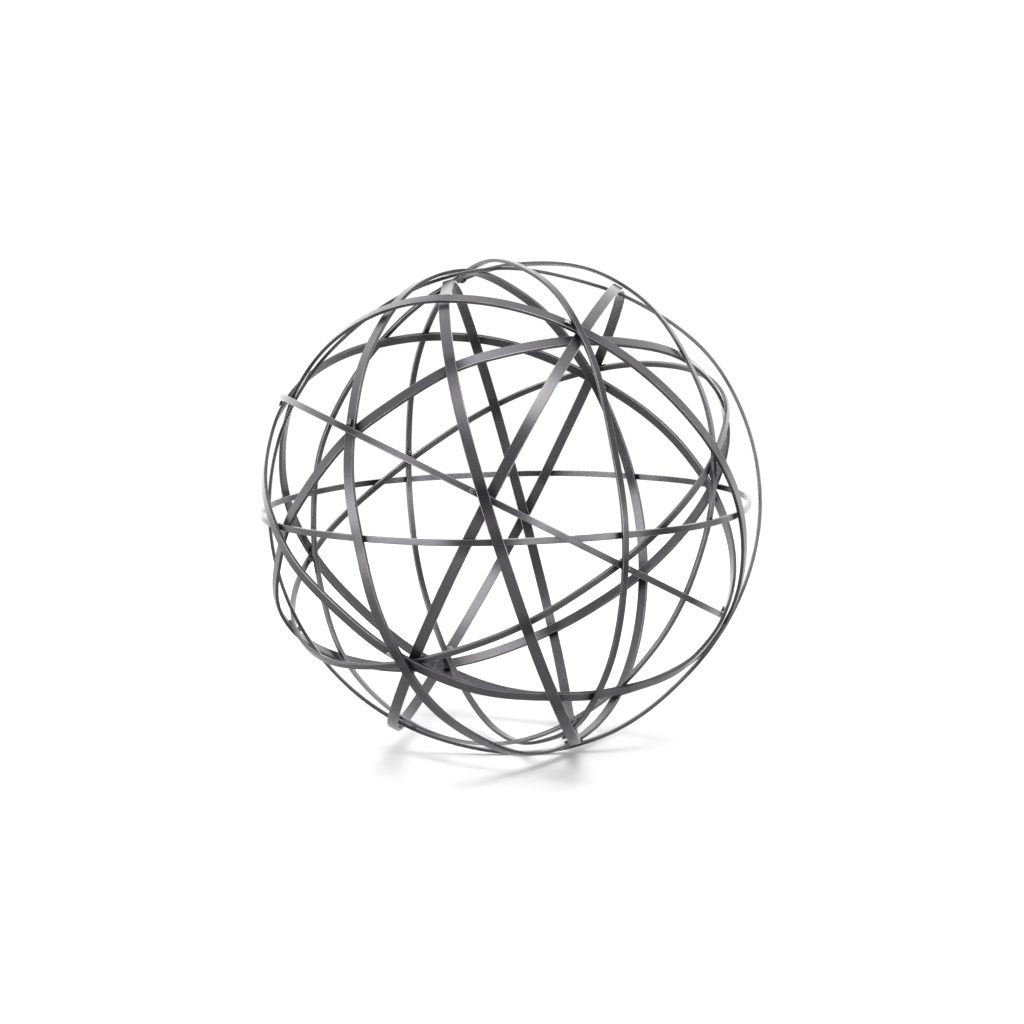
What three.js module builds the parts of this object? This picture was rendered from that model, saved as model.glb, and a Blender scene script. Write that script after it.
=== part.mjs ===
// Openwork ball of flat metal straps: twelve closed hoops, woven over and under
// one another and welded where they cross. Millimetres, +Z up, standing on z = 0.
import * as THREE from 'three';

// Driving dimensions
const BALL_RADIUS = 100; // middle of the strap, on a hoop of the usual size
const WIDE = 4.5; // strap widths
const NARROW = 2.7;
const THICKNESS = 1.4;
const CLEARANCE = 0.3; // between two straps where they cross
const STEPS = 96; // sections round one hoop

// Weave
const BEND_LENGTH = 46; // a strap eases in and out of a crossing over this length
const STEP_LENGTH = (2 * Math.PI * BALL_RADIUS) / STEPS;
const GUESSES = 4; // at where two hoops cross
const SWEEPS = 300; // of bending the straps apart
const LAYER = THICKNESS + CLEARANCE;

// Welds
const HUB_ANGLE = THREE.MathUtils.degToRad(4.5); // crossings this close share one hub
const HUB_STRAPS = 3; // a hub of fewer straps gets no weld bead of its own
const BEAD = { length: 2.2, width: 1.5, height: 0.9 };
const BEAD_GAP = 0.25; // beside the strap and under the bead
const BEAD_DETAIL = 1;

const PAINT = { color: 0x4a494d, roughness: 0.45, metalness: 0.55 };
const WELD = { color: 0x6d6b6c, roughness: 0.35, metalness: 0.8 };

// Each hoop lies in a plane square to its axle. The axle is given by its bearing from +X
// and its rise above level, in degrees. shift is where the hoop's middle sits, from the
// middle of the ball.
// Three of the axles are square to one another, and six lie half way between those.
const HOOPS = [
  { name: 'square_a', width: WIDE, radius: 100.5, bearing: 170.5, rise: 26, shift: [1, 0, 0.2] },
  { name: 'square_b', width: WIDE, radius: 100.4, bearing: -63, rise: 49.8, shift: [-0.8, 0, 0.3] },
  { name: 'square_c', width: WIDE, radius: 100.5, bearing: 66.8, rise: 28, shift: [0.2, -0.6, -0.9] },
  { name: 'half_a', width: WIDE, radius: 99.4, bearing: -33.8, rise: 14.7, shift: [1.1, -0.4, -2.4] },
  { name: 'half_b', width: NARROW, radius: 100.4, bearing: -146.5, rise: 57.2, shift: [-0.3, 0, 0] },
  { name: 'half_c', width: NARROW, radius: 99.8, bearing: 26.2, rise: 1, shift: [-0.5, 0.6, 1.6] },
  { name: 'half_d', width: WIDE, radius: 100.3, bearing: 118.3, rise: 40, shift: [-0.6, -2.2, -1.6] },
  { name: 'half_e', width: NARROW, radius: 100.3, bearing: 17.4, rise: 62.2, shift: [-1.5, 0, 0.5] },
  { name: 'half_f', width: NARROW, radius: 101.4, bearing: -87, rise: 3, shift: [4, 0, -0.2] },
  { name: 'leaning_a', width: WIDE, radius: 100.2, bearing: -1, rise: 15, shift: [1.3, -0.5, 0.2] },
  { name: 'leaning_b', width: NARROW, radius: 100.1, bearing: 145, rise: 88.5, shift: [0, 0.6, 1] },
  { name: 'leaning_c', width: NARROW, radius: 100.2, bearing: -126, rise: 17, shift: [-1.9, -0.9, 2.8] },
];

// Hoops that were pulled out of a true circle as they were welded in: at an angle round the
// hoop, sideways along the axle and outward, fading over `reach` on both sides. Degrees and mm.
const PULLS = [
  { name: 'half_f', at: -80, reach: 70, side: 0, out: -3.9 },
  { name: 'square_a', at: 90, reach: 45, side: 0, out: 1.5 },
  { name: 'half_f', at: 140, reach: 45, side: 0, out: -1.2 },
  { name: 'half_d', at: -140, reach: 75, side: 2.5, out: 0 },
  { name: 'square_b', at: 0, reach: 40, side: 0, out: -1.2 },
  { name: 'square_c', at: 180, reach: 50, side: 0, out: 1.5 },
  { name: 'half_a', at: -58, reach: 28, side: -3, out: 0 },
  { name: 'leaning_a', at: -33, reach: 60, side: -3.3, out: 0 },
  { name: 'leaning_a', at: 60, reach: 50, side: 3, out: 0 },
];

// How these hoops lie over one another on the front of the ball, the outermost first. The
// front is what reaches farther than `reach` in its direction, and its middle is a little
// above -Y. Anywhere else, the hoop that reaches farther out at a crossing goes over.
const FRONT = { bearing: -90, rise: 9, reach: 42 };
const FRONT_ORDER = [
  'half_c',
  'square_c',
  'leaning_a',
  'half_e',
  'half_a',
  'square_b',
  'leaning_b',
  'leaning_c',
  'half_b',
  'square_a',
  'half_d',
];
const TUCKED = { under: 'leaning_a', over: ['half_a', 'half_f'] }; // at the top of the ball

function unitVector(bearing, rise) {
  const turn = THREE.MathUtils.degToRad(bearing);
  const lift = THREE.MathUtils.degToRad(rise);
  const level = Math.cos(lift);
  return new THREE.Vector3(level * Math.cos(turn), level * Math.sin(turn), Math.sin(lift));
}

function stepAngle(step) {
  return (2 * Math.PI * step) / STEPS;
}

// The angle from one direction round a hoop to another, never more than half a turn.
function turnBetween(one, two) {
  return Math.abs(Math.atan2(Math.sin(one - two), Math.cos(one - two)));
}

// 1 at the middle of a stretch, easing to 0 at its ends.
function ease(away, reach) {
  return away < reach ? 0.5 + 0.5 * Math.cos((Math.PI * away) / reach) : 0;
}

// A hoop with two directions across its plane, and its radius and how far it stands out of
// its plane at each step round it.
function layOut(hoop) {
  const axle = unitVector(hoop.bearing, hoop.rise);
  const start = new THREE.Vector3(axle.y, -axle.x, 0).normalize();
  const quarter = new THREE.Vector3().crossVectors(axle, start);
  const middle = new THREE.Vector3(...hoop.shift);
  const radii = new Array(STEPS).fill(hoop.radius);
  const sides = new Array(STEPS).fill(0);
  PULLS.filter(({ name }) => name === hoop.name).forEach(({ at, reach, side, out }) => {
    for (let step = 0; step < STEPS; step += 1) {
      const away = turnBetween(stepAngle(step), THREE.MathUtils.degToRad(at));
      const share = ease(away, THREE.MathUtils.degToRad(reach));
      radii[step] += out * share;
      sides[step] += side * share;
    }
  });
  return { ...hoop, axle, start, quarter, middle, radii, sides };
}

// The direction from a hoop's own middle at an angle round it.
function outward(hoop, angle) {
  return new THREE.Vector3()
    .addScaledVector(hoop.start, Math.cos(angle))
    .addScaledVector(hoop.quarter, Math.sin(angle));
}

// A value kept for each step round a hoop, read between the steps.
function valueAt(values, angle) {
  const place = (angle / (2 * Math.PI)) * STEPS + STEPS;
  const step = Math.floor(place);
  return THREE.MathUtils.lerp(values[step % STEPS], values[(step + 1) % STEPS], place - step);
}

// The middle of the strap at an angle round its hoop.
function pointAt(hoop, angle) {
  return outward(hoop, angle)
    .multiplyScalar(valueAt(hoop.radii, angle))
    .addScaledVector(hoop.axle, valueAt(hoop.sides, angle))
    .add(hoop.middle);
}

function angleOf(hoop, point) {
  const arm = point.clone().sub(hoop.middle);
  return Math.atan2(arm.dot(hoop.quarter), arm.dot(hoop.start));
}

// The steps of a hoop near a crossing: `share` is 1 on the stretch that lies on the other
// strap, and eases to 0 over BEND_LENGTH on each side.
function stretchNear(hoop, other, point) {
  const cosine = Math.abs(hoop.axle.dot(other.axle));
  const sine = Math.sqrt(1 - cosine * cosine);
  const half = (other.width / 2 + (hoop.width / 2) * cosine) / sine + STEP_LENGTH;
  const angle = angleOf(hoop, point);
  const stretch = [];
  for (let step = 0; step < STEPS; step += 1) {
    const away = turnBetween(stepAngle(step), angle) * BALL_RADIUS - half;
    if (away < BEND_LENGTH) {
      stretch.push({ step, share: ease(Math.max(away, 0), BEND_LENGTH) });
    }
  }
  return stretch;
}

// How far along its own axle a hoop is, near a point.
function planeAt(hoop, point) {
  return hoop.middle.dot(hoop.axle) + valueAt(hoop.sides, angleOf(hoop, point));
}

// The two places where two hoops cross on the ball, each found again from the last guess
// because a pulled hoop isn't quite flat.
function meetingPoints(one, two) {
  const along = new THREE.Vector3().crossVectors(one.axle, two.axle).normalize();
  const fromOne = new THREE.Vector3().crossVectors(two.axle, along);
  const fromTwo = new THREE.Vector3().crossVectors(along, one.axle);
  const scale = 1 / one.axle.dot(fromOne);
  return [BALL_RADIUS, -BALL_RADIUS].map((start) => {
    let point = along.clone().multiplyScalar(start);
    for (let guess = 0; guess < GUESSES; guess += 1) {
      const base = new THREE.Vector3()
        .addScaledVector(fromOne, planeAt(one, point) * scale)
        .addScaledVector(fromTwo, planeAt(two, point) * scale);
      const reach = Math.sqrt(BALL_RADIUS ** 2 - base.lengthSq());
      point = base.addScaledVector(along, Math.sign(start) * reach);
    }
    return point;
  });
}

// How far out from the middle of the ball a hoop reaches in the direction of a point.
function reachAt(hoop, point) {
  return pointAt(hoop, angleOf(hoop, point)).length();
}

// Whether the first of two hoops goes over the second one at a crossing.
function goesOver(one, two, point) {
  const isTucked = (under, over) =>
    point.z > 0 && under.name === TUCKED.under && TUCKED.over.includes(over.name);
  if (isTucked(one, two) || isTucked(two, one)) {
    return isTucked(two, one);
  }
  const [first, second] = [one, two].map(({ name }) => FRONT_ORDER.indexOf(name));
  const isFront = point.dot(unitVector(FRONT.bearing, FRONT.rise)) > FRONT.reach;
  if (isFront && first >= 0 && second >= 0) {
    return first < second;
  }
  return reachAt(one, point) > reachAt(two, point);
}

function findCrossings(hoops) {
  const crossings = [];
  hoops.forEach((one, index) => {
    hoops.slice(index + 1).forEach((two) => {
      meetingPoints(one, two).forEach((point) => {
        const [over, under] = goesOver(one, two, point) ? [one, two] : [two, one];
        const overStretch = stretchNear(over, under, point);
        const underStretch = stretchNear(under, over, point);
        crossings.push({ point, over, under, overStretch, underStretch });
      });
    });
  });
  return crossings;
}

function distances(hoop, stretch) {
  const flat = stretch.filter(({ share }) => share === 1);
  return flat.map(({ step }) => pointAt(hoop, stepAngle(step)).length());
}

function push(hoop, stretch, amount) {
  stretch.forEach((spot) => {
    hoop.radii[spot.step] += amount * spot.share;
  });
}

// Bends the straps apart, a little at a time, until every pair is clear where it crosses.
function weave(crossings) {
  for (let sweep = 0; sweep < SWEEPS; sweep += 1) {
    crossings.forEach(({ over, under, overStretch, underStretch }) => {
      const room = Math.min(...distances(over, overStretch));
      const taken = Math.max(...distances(under, underStretch));
      const lacking = LAYER - (room - taken);
      if (lacking > 0) {
        push(over, overStretch, lacking / 2);
        push(under, underStretch, -lacking / 2);
      }
    });
  }
}

// One flat strap, closed on itself: four corners at every step, joined to the next step.
function strapGeometry(hoop) {
  const corners = [[-1, -1], [1, -1], [1, 1], [-1, 1]];
  const positions = [];
  const faces = [];
  for (let step = 0; step < STEPS; step += 1) {
    const away = outward(hoop, stepAngle(step));
    const centre = pointAt(hoop, stepAngle(step));
    corners.forEach(([across, out]) => {
      const corner = centre
        .clone()
        .addScaledVector(hoop.axle, (across * hoop.width) / 2)
        .addScaledVector(away, (out * THICKNESS) / 2);
      positions.push(...corner.toArray());
    });
    const here = step * corners.length;
    const next = ((step + 1) % STEPS) * corners.length;
    corners.forEach((_, index) => {
      const side = (index + 1) % corners.length;
      faces.push(here + index, here + side, next + side);
      faces.push(here + index, next + side, next + index);
    });
  }
  const geometry = new THREE.BufferGeometry();
  geometry.setAttribute('position', new THREE.Float32BufferAttribute(positions, 3));
  geometry.setIndex(faces);
  geometry.computeVertexNormals();
  return geometry;
}

// Crossings that lie close together, gathered into hubs.
function findHubs(crossings) {
  const hubs = [];
  crossings.forEach((crossing) => {
    const near = (other) => other.point.angleTo(crossing.point) < HUB_ANGLE;
    const home = hubs.find((hub) => hub.some(near));
    if (home) {
      home.push(crossing);
    } else {
      hubs.push([crossing]);
    }
  });
  return hubs.filter((hub) => strapsOf(hub).length >= HUB_STRAPS);
}

// The straps that meet at a hub, the outermost first.
function strapsOf(hub) {
  const straps = [...new Set(hub.flatMap(({ over, under }) => [over, under]))];
  const timesOver = (strap) => hub.filter(({ over }) => over === strap).length;
  return straps.sort((one, two) => timesOver(two) - timesOver(one));
}

function crossingOf(hub, one, two) {
  return hub.find(({ over, under }) => [one, two].includes(over) && [one, two].includes(under));
}

// How far a point is from the nearest of some straps, measured along the surface of the ball.
function roomAt(point, hoops) {
  const rooms = hoops.map((hoop) => {
    return Math.abs(point.dot(hoop.axle) - planeAt(hoop, point)) - hoop.width / 2;
  });
  return Math.min(...rooms);
}

// The angle round the `face` strap where a bead lies against the `edge` strap, on the side of
// the crossing that is clearer of the other straps.
function beadAngle(edge, face, point, hoops) {
  const cosine = edge.axle.dot(face.axle);
  const sine = Math.sqrt(1 - cosine * cosine);
  const reach = Math.hypot((BEAD.length / 2) * sine, (BEAD.width / 2) * cosine);
  const beside = (edge.width / 2 + BEAD_GAP + reach) / sine / BALL_RADIUS;
  const others = hoops.filter((hoop) => hoop !== edge && hoop !== face);
  const places = [angleOf(face, point) + beside, angleOf(face, point) - beside];
  const [first, second] = places.map((angle) => roomAt(pointAt(face, angle), others));
  return first > second ? places[0] : places[1];
}

// A bead of weld metal in the corner between the edge of one strap and the face of another.
// side is 1 for a bead on the outer face, and -1 for one on the inner face.
function beadMesh(name, face, angle, side) {
  const out = outward(face, angle);
  const along = new THREE.Vector3().crossVectors(face.axle, out);
  const lift = THICKNESS / 2 + BEAD_GAP + BEAD.height / 2;
  const geometry = new THREE.IcosahedronGeometry(1, BEAD_DETAIL);
  geometry.scale(BEAD.length / 2, BEAD.width / 2, BEAD.height / 2);
  const mesh = new THREE.Mesh(geometry, new THREE.MeshStandardMaterial(WELD));
  mesh.name = name;
  mesh.quaternion.setFromRotationMatrix(new THREE.Matrix4().makeBasis(along, face.axle, out));
  mesh.position.copy(pointAt(face, angle)).addScaledVector(out, side * lift);
  return mesh;
}

// One bead outside a hub, against its outermost strap, and one inside, against its innermost
// strap. A hub where that strap misses the next one goes without.
function hubBeads(hub, index, hoops) {
  const straps = strapsOf(hub);
  const [top, second] = straps;
  const [low, bottom] = straps.slice(-2);
  const number = String(index + 1).padStart(2, '0');
  const beads = [
    { name: `weld_outer_${number}`, edge: top, face: second, side: 1 },
    { name: `weld_inner_${number}`, edge: bottom, face: low, side: -1 },
  ];
  return beads
    .filter(({ edge, face }) => crossingOf(hub, edge, face))
    .map(({ name, edge, face, side }) => {
      const { point } = crossingOf(hub, edge, face);
      return beadMesh(name, face, beadAngle(edge, face, point, hoops), side);
    });
}

function buildBall() {
  const hoops = HOOPS.map(layOut);
  const crossings = findCrossings(hoops);
  weave(crossings);
  const ball = new THREE.Group();
  hoops.forEach((hoop) => {
    const mesh = new THREE.Mesh(strapGeometry(hoop), new THREE.MeshStandardMaterial(PAINT));
    mesh.name = `hoop_${hoop.name}`;
    ball.add(mesh);
  });
  const hubs = findHubs(crossings);
  ball.add(...hubs.flatMap((hub, index) => hubBeads(hub, index, hoops)));
  const box = new THREE.Box3().setFromObject(ball, true);
  const middle = box.getCenter(new THREE.Vector3());
  ball.position.set(-middle.x, -middle.y, -box.min.z);
  return ball;
}

export default buildBall();
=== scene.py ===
"""Openwork ball of flat metal straps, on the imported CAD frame. Metres, +Z up."""
import math

import bmesh
import bpy
import numpy as np
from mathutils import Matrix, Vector
from mathutils.kdtree import KDTree


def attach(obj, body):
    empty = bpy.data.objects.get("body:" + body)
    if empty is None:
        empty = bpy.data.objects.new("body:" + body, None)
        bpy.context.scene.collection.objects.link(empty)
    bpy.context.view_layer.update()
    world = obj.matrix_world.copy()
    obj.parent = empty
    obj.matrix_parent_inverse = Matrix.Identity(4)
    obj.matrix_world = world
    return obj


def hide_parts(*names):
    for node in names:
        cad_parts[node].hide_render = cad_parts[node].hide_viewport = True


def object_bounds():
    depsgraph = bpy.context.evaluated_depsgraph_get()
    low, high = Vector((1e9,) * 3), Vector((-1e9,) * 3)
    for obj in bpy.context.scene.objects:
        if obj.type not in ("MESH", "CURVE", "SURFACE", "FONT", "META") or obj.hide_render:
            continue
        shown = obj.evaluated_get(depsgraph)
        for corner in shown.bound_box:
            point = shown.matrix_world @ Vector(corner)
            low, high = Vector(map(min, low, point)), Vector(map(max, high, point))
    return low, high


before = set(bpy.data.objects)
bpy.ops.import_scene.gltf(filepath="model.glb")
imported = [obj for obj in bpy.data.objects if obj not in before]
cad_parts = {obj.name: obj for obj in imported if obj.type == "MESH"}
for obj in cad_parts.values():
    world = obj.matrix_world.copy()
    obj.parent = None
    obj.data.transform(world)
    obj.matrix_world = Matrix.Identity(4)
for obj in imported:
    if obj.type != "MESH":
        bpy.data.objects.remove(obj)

PLACES = 7  # decimals of a metre by which two corners are told apart

# The straps' fine shape
STEPS_PER_SECTION = 4  # fine steps between two sections of the CAD hoop
SECTION_CORNERS = 4  # a CAD section is a rectangle
CORNER_RADIUS = 0.0002
CORNER_STEPS = 3  # short faces round each eased corner
EDGE_BAND = 0.00010  # the rubbed line reaches this far onto the flat
FLAT_SHARE = 0.2  # where the two middle points of a flat lie, as a share of the width
SKIN = 0.00009  # how far its outside and its sides keep inside those of the CAD strap
JOINT_NEAR = 0.0028  # painted shade is darkest where another strap's middle line is this near
JOINT_FAR = 0.0070  # and untouched from here on

# The weld beads' fine shape
BEAD_DETAIL = 4  # times that the ball it starts from is divided
BEAD_SPREAD = (1.35, 1.35, 1.2)  # the real puddle reaches past the plain bead
BIG_SPREAD = (2.3, 2.1, 1.5)
BIG_HUBS = ("03",)  # a large lumpy weld
BARE_HUBS = ("02", "03", "04", "05", "10")  # these welds were brushed bare again
BEAD_LUMPS = 0.28  # how uneven a bead is, as a share of its size
LUMP_WAVES = 5  # this many waves in mixed directions make the lumps
LUMP_PITCH = 2.4  # and this is how closely they follow one another

# Noises, as scale per metre, how many finer layers it has, and how strong those are
STREAK_STRETCH = (30, 1500, 1)  # waves to the metre along a strap and round it
STREAKS = (1.0, 3.0, 0.5)  # of the stretched place
CLOUDS = (60.0, 3.0, 0.5)
WANDER = (110.0, 2.0, 0.5)
GRAIN = (2200.0, 2.0, 0.5)
WELD_COAT = (900.0, 4.0, 0.6)
WELD_RIPPLE = (1500.0, 3.0, 0.5)
FLOOR_CLOUDS = (3.0, 3.0, 0.55)

# What a noise turns into: the two noise values it runs between, and what it gives there
BROWNED = ((0.45, 0.7), (0.0, 0.7))
STREAKED = ((0.35, 0.7), (0.0, 0.45))
# painted shade beside the crossings comes in patches between these noise values
PAINTED_SHADE_PATCHES = ((0.3, 0.65), (0.55, 1.0))
RUBBED = ((0.38, 0.6), (0.25, 1.0))
GRAIN_ROUGHNESS = ((0.3, 0.7), (0.26, 0.32))
CLOUD_ROUGHNESS = ((0.3, 0.7), (-0.02, 0.03))  # on top of the grain's
WELD_ROUGHNESS = ((0.3, 0.7), (0.22, 0.38))
BARE_WELD = ((0.34, 0.54), (0.0, 1.0))  # the share of bare metal
PAINTED_WELD = ((0.60, 0.85), (0.0, 1.0))

# Colours, and how deep the bumps are in metres and how strongly they show
GRAPHITE = (0.038, 0.037, 0.041, 1)
BROWN_GRAPHITE = (0.042, 0.038, 0.036, 1)
STREAK_GREY = (0.051, 0.050, 0.054, 1)
# painted shade where the straps cross one another
PAINTED_SHADE = (0.013, 0.013, 0.014, 1)
RUBBED_GREY = (0.085, 0.083, 0.086, 1)
WELD_PAINT = (0.032, 0.031, 0.034, 1)
BARE_METAL = (0.16, 0.157, 0.157, 1)
METALLIC = 0.75  # of the paint, which is full of fine metal, and of the welds
FLOOR_SHADES = ((0.365, 0.365, 0.365, 1), (0.375, 0.375, 0.375, 1))
FLOOR_ROUGHNESS = 0.8
STREAK_BUMP = (0.00001, 0.25)
GRAIN_BUMP = (0.000008, 0.35)
WELD_BUMP = (0.00012, 0.6)

# Camera, looking from the front
CAMERA_RISE = math.radians(9)
CAMERA_DISTANCE = 0.990
CAMERA_LENS = 84.4
CAMERA_CLIP = (0.05, 20)
AIM_SHIFT = Vector((-0.00029, -0.00013, -0.00130))  # from the middle of the CAD box
FLOOR_SIZE = 1.1  # small, so that light from level soft boxes reaches past its edges

# The studio is a room that is dim in front of the ball and bright behind it, with soft
# boxes: bearing from +X and rise above level in degrees, half the angle that each one
# fills as seen from the ball, and how bright it is
ROOM_FRONT = 0.25
ROOM_BACK = 2.7
ROOM_TURN = (-0.6, 0.4)  # it brightens between these two Y parts of a direction
BACKDROP = 1.05  # what the camera itself sees of the room
WHITE = (1, 1, 1, 1)
SOFTBOXES = (
    {"bearing": -80, "rise": 66, "radius": 19, "power": 16},
    {"bearing": -142, "rise": 0, "radius": 25, "power": 13},
    {"bearing": -57, "rise": -2, "radius": 20, "power": 13},
)
SOFT_EDGE = 9  # degrees over which a soft box fades


def cad_points(node):
    """The separate corners of a CAD node."""
    corners = np.array([v.co for v in node.data.vertices])
    return np.unique(np.round(corners, PLACES), axis=0)


def main_axes(points):
    """The middle of some points, their main directions, and how far they span along each."""
    middle = points.mean(axis=0)
    _, _, directions = np.linalg.svd(points - middle, full_matrices=False)
    spans = np.ptp((points - middle) @ directions.T, axis=0)
    return middle, directions, spans


def split_sections(points):
    """The corners of a CAD hoop, sorted into its sections in order round the hoop."""
    middle, (first, second, _), _ = main_axes(points)
    angles = np.arctan2((points - middle) @ second, (points - middle) @ first)
    order = np.argsort(angles)
    gaps = np.diff(angles[order], append=angles[order][0] + 2 * math.pi)
    start = (np.argmax(gaps) + 1) % SECTION_CORNERS
    return points[np.roll(order, -start)].reshape(-1, SECTION_CORNERS, 3)


def same_way(direction, other):
    """A direction, turned round if it points away from the other one."""
    return direction * np.sign(direction @ other)


def hoop_shape(node):
    """The middle and outward direction of every section of a hoop, its axle and its size."""
    sections = split_sections(cad_points(node))
    middles = sections.mean(axis=1)
    arms = middles - middles.mean(axis=0)
    across, out, sizes = [], [], []
    for section, arm in zip(sections, arms):
        _, (wide_way, thin_way, _), spans = main_axes(section)
        first_way = across[0] if across else wide_way
        across.append(same_way(wide_way, first_way))
        out.append(same_way(thin_way, arm))
        sizes.append(spans[:2])
    axle = np.mean(across, axis=0)
    width, thickness = np.median(sizes, axis=0)
    return middles, np.array(out), axle / np.linalg.norm(axle), width, thickness


def smooth_round(values, per_section):
    """Points on a smooth closed curve through the given ones."""
    before, after = np.roll(values, 1, axis=0), np.roll(values, -1, axis=0)
    beyond = np.roll(values, -2, axis=0)
    rows = []
    for step in range(per_section):
        t = step / per_section
        rows.append(0.5 * (2 * values + (after - before) * t
                           + (2 * before - 5 * values + 4 * after - beyond) * t ** 2
                           + (3 * values - before - 3 * after + beyond) * t ** 3))
    return np.stack(rows, axis=1).reshape(-1, values.shape[1])


def strap_profile(width, thickness):
    """Points round a strap's section as (across, out), and which of them are rubbed."""
    points, rubbed = [], []
    inset = CORNER_RADIUS + EDGE_BAND
    wide = (width / 2 - inset, FLAT_SHARE * width, -FLAT_SHARE * width, inset - width / 2)
    narrow = (thickness / 2 - inset, inset - thickness / 2)
    for across, out, start in ((1, 1, 0), (-1, 1, 90), (-1, -1, 180), (1, -1, 270)):
        centre = (across * (width / 2 - CORNER_RADIUS), out * (thickness / 2 - CORNER_RADIUS))
        for step in range(CORNER_STEPS + 1):
            turn = math.radians(start + 90 * step / CORNER_STEPS)
            points.append((centre[0] + CORNER_RADIUS * math.cos(turn),
                           centre[1] + CORNER_RADIUS * math.sin(turn)))
            rubbed.append(1.0)
        if across == out:
            flat = [(across * place, out * thickness / 2) for place in wide]
        else:
            flat = [(across * width / 2, out * place) for place in narrow]
        points += flat
        rubbed += [0.0] * len(flat)
    return np.array(points), np.array(rubbed)


def add_object(name, data):
    """A new object in the scene."""
    added = bpy.data.objects.new(name, data)
    bpy.context.scene.collection.objects.link(added)
    return added


def add_mesh(name, corners, faces, smooth=True):
    """A new object in the scene, from its corners and faces."""
    mesh = bpy.data.meshes.new(name)
    mesh.from_pydata([tuple(c) for c in corners], [], faces)
    mesh.validate()
    mesh.update()
    if smooth:
        mesh.shade_smooth()
    return add_object(name, mesh)


def lay_lines(hoops):
    """The fine middle line of each hoop, with its outward directions and its sizes."""
    lines = {}
    for name, node in hoops.items():
        middles, out, axle, width, thickness = hoop_shape(node)
        outward = smooth_round(out, STEPS_PER_SECTION)
        outward /= np.linalg.norm(outward, axis=1)[:, None]
        line = smooth_round(middles, STEPS_PER_SECTION) - outward * SKIN
        lines[name] = {"line": line, "outward": outward, "axle": axle,
                       "width": width - 2 * SKIN, "thickness": thickness}
    return lines


def joint_shares(name, lines):
    """How near each ring of a strap is to another strap: 1 on it, 0 well clear of it."""
    others = np.vstack([shape["line"] for other, shape in lines.items() if other != name])
    tree = KDTree(len(others))
    for index, spot in enumerate(others):
        tree.insert(spot, index)
    tree.balance()
    away = np.array([tree.find(spot)[2] for spot in lines[name]["line"]])
    return 1 - np.clip((away - JOINT_NEAR) / (JOINT_FAR - JOINT_NEAR), 0, 1)


def ring_faces(count, around):
    """Four-sided faces between each ring of points and the next, closed both ways."""
    faces = []
    for ring in range(count):
        here = ring * around
        there = (ring + 1) % count * around
        for place in range(around):
            after = (place + 1) % around
            faces.append((here + place, here + after, there + after, there + place))
    return faces


def running_length(points):
    """How far along a closed line each point lies, with the whole length at the end."""
    closed = np.vstack([points, points[:1]])
    steps = np.linalg.norm(np.diff(closed, axis=0), axis=1)
    return np.concatenate([[0], np.cumsum(steps)])


def unwrap_strap(mesh, line, profile):
    """Lays the strap's surface out flat in metres: along it, and round its section."""
    along, girth = running_length(line), running_length(profile)
    spots = []
    for ring in range(len(line)):
        for place in range(len(profile)):
            spots += [(along[ring], girth[place]), (along[ring], girth[place + 1]),
                      (along[ring + 1], girth[place + 1]), (along[ring + 1], girth[place])]
    mesh.uv_layers.new(name="strap").data.foreach_set("uv", np.array(spots).ravel())


def add_values(mesh, name, values):
    """One number for each corner of a mesh, for a material to read."""
    mesh.attributes.new(name, "FLOAT", "POINT").data.foreach_set("value", values)


def add_strap(name, shape, joints, material):
    """A finely rolled strap with eased edges, along the middle line of a hoop."""
    profile, rubbed = strap_profile(shape["width"], shape["thickness"])
    line, outward = shape["line"], shape["outward"]
    rings = (line[:, None, :] + profile[None, :, :1] * shape["axle"]
             + profile[None, :, 1:] * outward[:, None, :])
    piece = add_mesh(name, rings.reshape(-1, 3), ring_faces(len(line), len(profile)))
    unwrap_strap(piece.data, line, profile)
    add_values(piece.data, "edge", np.tile(rubbed, len(line)))
    add_values(piece.data, "crossing_shade", np.repeat(joints, len(profile)))
    piece.data.materials.append(material)
    return piece


def add_bead(name, node, spread, material, seed):
    """An uneven puddle of weld metal round a CAD bead."""
    middle, directions, spans = main_axes(cad_points(node))
    generator = np.random.default_rng(seed)
    waves = generator.normal(size=(LUMP_WAVES, 3)) * LUMP_PITCH
    phases = generator.uniform(0, 2 * math.pi, LUMP_WAVES)
    shape = bmesh.new()
    bmesh.ops.create_icosphere(shape, subdivisions=BEAD_DETAIL, radius=1)
    for vertex in shape.verts:
        ball = np.array(vertex.co)
        lump = 1 + BEAD_LUMPS * np.mean(np.sin(waves @ ball + phases))
        local = ball * lump * spans / 2 * np.array(spread)
        vertex.co = Vector(middle + local @ directions)
    bmesh.ops.recalc_face_normals(shape, faces=shape.faces)
    mesh = bpy.data.meshes.new(name)
    shape.to_mesh(mesh)
    shape.free()
    mesh.shade_smooth()
    mesh.materials.append(material)
    return add_object(name, mesh)


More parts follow.
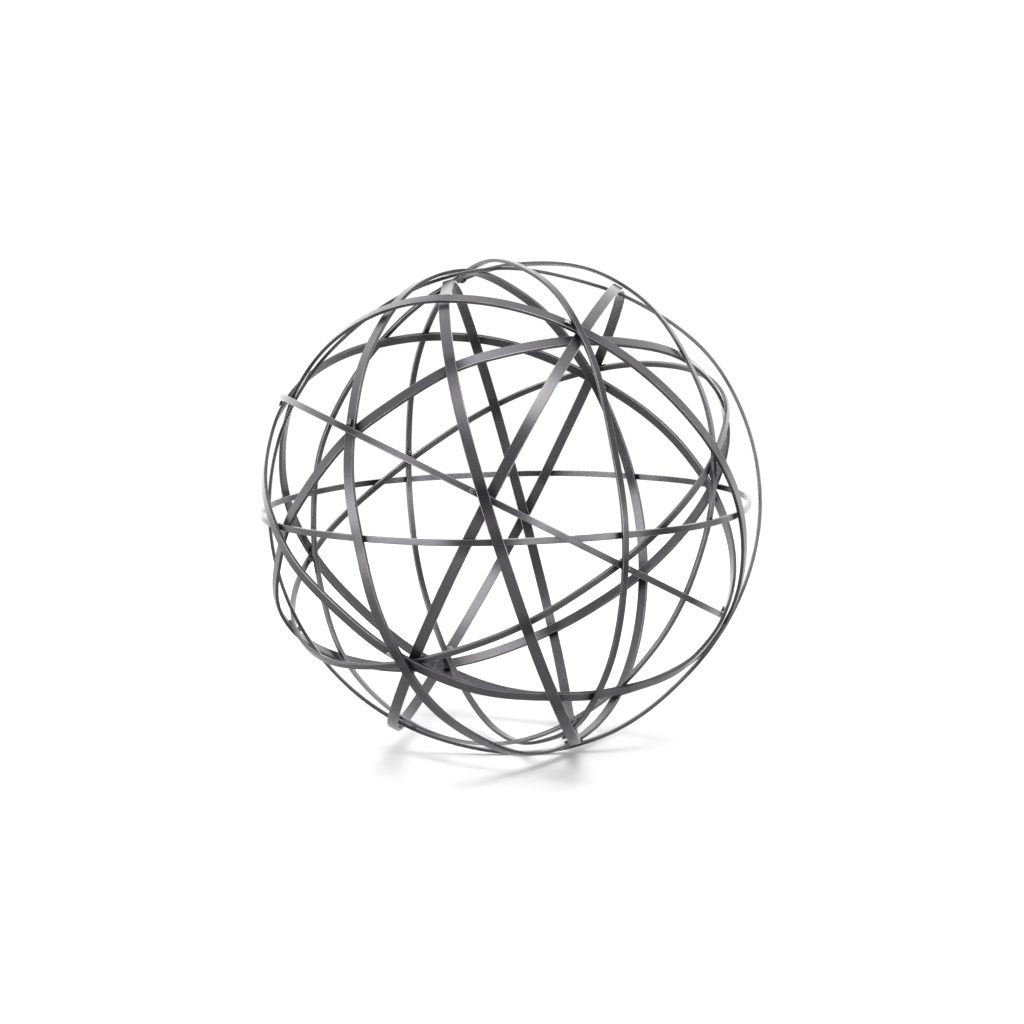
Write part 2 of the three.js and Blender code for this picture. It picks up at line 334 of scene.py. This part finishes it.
class Nodes:
    """Short helpers for building a node tree."""

    def __init__(self, tree):
        self.tree = tree

    def add(self, kind, inputs=None, **settings):
        """A new node, with its settings and with a value or a link for each input."""
        node = self.tree.nodes.new(kind)
        for key, value in settings.items():
            setattr(node, key, value)
        for key, value in (inputs or {}).items():
            self.put(node.inputs[key], value)
        return node

    def put(self, socket, value):
        if isinstance(value, bpy.types.NodeSocket):
            self.tree.links.new(value, socket)
        else:
            socket.default_value = value

    def noise(self, vector, scale, detail, roughness):
        inputs = {"Vector": vector, "Scale": scale, "Detail": detail, "Roughness": roughness}
        return self.add("ShaderNodeTexNoise", inputs).outputs["Fac"]

    def ramp(self, value, between, gives, smooth=False):
        """What a value turns into, between its low and its high end."""
        inputs = {"Value": value, "From Min": between[0], "From Max": between[1],
                  "To Min": gives[0], "To Max": gives[1]}
        kind = "SMOOTHSTEP" if smooth else "LINEAR"
        return self.add("ShaderNodeMapRange", inputs, interpolation_type=kind).outputs[0]

    def math(self, operation, one, two):
        return self.add("ShaderNodeMath", {0: one, 1: two}, operation=operation).outputs[0]

    def mix(self, share, one, two):
        """Two colours mixed, through the colour sockets of a Mix node."""
        inputs = {"Factor": share, 6: one, 7: two}
        return self.add("ShaderNodeMix", inputs, data_type="RGBA").outputs[2]

    def attribute(self, name):
        return self.add("ShaderNodeAttribute", attribute_name=name).outputs["Fac"]

    def bump(self, height, distance, strength, normal=None):
        inputs = {"Height": height, "Distance": distance, "Strength": strength}
        if normal is not None:
            inputs["Normal"] = normal
        return self.add("ShaderNodeBump", inputs).outputs["Normal"]


def new_material(name):
    material = bpy.data.materials.new(name)
    material.use_nodes = True
    tree = material.node_tree
    tree.nodes.clear()
    return material, Nodes(tree)


def add_surface(n, inputs):
    """The material's surface, from the values or links of its shader's inputs."""
    shader = n.add("ShaderNodeBsdfPrincipled", inputs)
    n.add("ShaderNodeOutputMaterial", {"Surface": shader.outputs[0]})


def strap_paint():
    """Thin satin graphite paint on rolled strap: soft streaks and clouds, painted shade where
    the straps meet, and a fine rubbed line along the edges."""
    material, n = new_material("graphite_paint")
    place = n.add("ShaderNodeTexCoord").outputs["Object"]
    uv = n.add("ShaderNodeUVMap", uv_map="strap").outputs["UV"]
    stretch = n.add("ShaderNodeMapping", {"Vector": uv, "Scale": STREAK_STRETCH})
    streaks = n.noise(stretch.outputs[0], *STREAKS)
    clouds = n.noise(place, *CLOUDS)
    grain = n.noise(place, *GRAIN)
    wander = n.noise(place, *WANDER)
    base = n.mix(n.ramp(clouds, *BROWNED), GRAPHITE, BROWN_GRAPHITE)
    streaky = n.mix(n.ramp(streaks, *STREAKED), base, STREAK_GREY)
    # painted shade beside each crossing, darkest nearest the other strap, broken into patches
    crossing_shade = n.math("MULTIPLY", n.attribute("crossing_shade"), n.ramp(wander, *PAINTED_SHADE_PATCHES))
    shaded = n.mix(crossing_shade, streaky, PAINTED_SHADE)
    rubbed = n.math("MULTIPLY", n.attribute("edge"), n.ramp(wander, *RUBBED))
    colour = n.mix(rubbed, shaded, RUBBED_GREY)
    grainy = n.ramp(grain, *GRAIN_ROUGHNESS)
    rough = n.math("ADD", grainy, n.ramp(clouds, *CLOUD_ROUGHNESS))
    normal = n.bump(grain, *GRAIN_BUMP, n.bump(streaks, *STREAK_BUMP))
    add_surface(n, {"Base Color": colour, "Roughness": rough, "Normal": normal,
                    "Metallic": METALLIC})
    return material


def weld_metal(name, bareness):
    """Rippled weld metal under what is left of the same paint."""
    material, n = new_material(name)
    place = n.add("ShaderNodeTexCoord").outputs["Object"]
    coat = n.noise(place, *WELD_COAT)
    ripple = n.noise(place, *WELD_RIPPLE)
    colour = n.mix(n.ramp(coat, *bareness), WELD_PAINT, BARE_METAL)
    rough = n.ramp(coat, *WELD_ROUGHNESS)
    normal = n.bump(ripple, *WELD_BUMP)
    add_surface(n, {"Base Color": colour, "Roughness": rough, "Normal": normal,
                    "Metallic": METALLIC})
    return material


def floor_material():
    material, n = new_material("pale_floor")
    place = n.add("ShaderNodeTexCoord").outputs["Object"]
    colour = n.mix(n.noise(place, *FLOOR_CLOUDS), *FLOOR_SHADES)
    add_surface(n, {"Base Color": colour, "Roughness": FLOOR_ROUGHNESS})
    return material


def add_floor():
    half = FLOOR_SIZE / 2
    corners = [(-half, -half, 0), (half, -half, 0), (half, half, 0), (-half, half, 0)]
    floor = add_mesh("floor", corners, [(0, 1, 2, 3)], smooth=False)
    floor.data.materials.append(floor_material())


def add_camera(middle):
    data = bpy.data.cameras.new("camera")
    camera = add_object("camera", data)
    back = Vector((0, -math.cos(CAMERA_RISE), math.sin(CAMERA_RISE)))
    camera.location = middle + AIM_SHIFT + back * CAMERA_DISTANCE
    camera.rotation_euler = (math.pi / 2 - CAMERA_RISE, 0, 0)
    data.lens = CAMERA_LENS
    data.clip_start, data.clip_end = CAMERA_CLIP
    bpy.context.scene.camera = camera


def softbox_light(n, direction, box):
    """How much light one soft box sends in from a direction."""
    turn, lift = math.radians(box["bearing"]), math.radians(box["rise"])
    axis = (math.cos(lift) * math.cos(turn), math.cos(lift) * math.sin(turn), math.sin(lift))
    facing = n.add("ShaderNodeVectorMath", {0: direction, 1: axis}, operation="DOT_PRODUCT")
    dim = math.cos(math.radians(box["radius"] + SOFT_EDGE / 2))
    full = math.cos(math.radians(box["radius"] - SOFT_EDGE / 2))
    return n.ramp(facing.outputs["Value"], (dim, full), (0.0, box["power"]), smooth=True)


def add_world():
    world = bpy.data.worlds.new("studio")
    bpy.context.scene.world = world
    world.use_nodes = True
    world.node_tree.nodes.clear()
    n = Nodes(world.node_tree)
    direction = n.add("ShaderNodeTexCoord").outputs["Generated"]
    split = n.add("ShaderNodeSeparateXYZ", {"Vector": direction})
    level = n.ramp(split.outputs["Y"], ROOM_TURN, (ROOM_FRONT, ROOM_BACK), smooth=True)
    for box in SOFTBOXES:
        level = n.math("ADD", level, softbox_light(n, direction, box))
    studio = n.add("ShaderNodeBackground", {"Color": WHITE, "Strength": level})
    white = n.add("ShaderNodeBackground", {"Color": WHITE, "Strength": BACKDROP})
    seen = n.add("ShaderNodeLightPath").outputs["Is Camera Ray"]
    mixed = n.add("ShaderNodeMixShader", {0: seen, 1: studio.outputs[0], 2: white.outputs[0]})
    n.add("ShaderNodeOutputWorld", {"Surface": mixed.outputs[0]})


def place_piece(piece, name):
    """Fixes a piece to the ball in place of a CAD node."""
    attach(piece, "root")
    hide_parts(name)


def add_ball():
    """Every strap and every bead, each in place of its CAD node."""
    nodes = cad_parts
    lines = lay_lines({name: nodes[name] for name in sorted(nodes) if name.startswith("hoop")})
    paint = strap_paint()
    for name, shape in lines.items():
        piece = add_strap(name + "_strap", shape, joint_shares(name, lines), paint)
        place_piece(piece, name)
    bare = weld_metal("bare_weld", BARE_WELD)
    painted = weld_metal("painted_weld", PAINTED_WELD)
    welds = sorted(name for name in nodes if name.startswith("weld"))
    for seed, name in enumerate(welds):
        material = bare if name.endswith(BARE_HUBS) else painted
        spread = BIG_SPREAD if name.endswith(BIG_HUBS) else BEAD_SPREAD
        piece = add_bead(name + "_bead", nodes[name], spread, material, seed)
        place_piece(piece, name)


def main():
    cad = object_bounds()
    add_ball()
    add_floor()
    add_world()
    add_camera((cad[0] + cad[1]) / 2)
    bpy.context.scene.view_settings.view_transform = "Standard"


main()
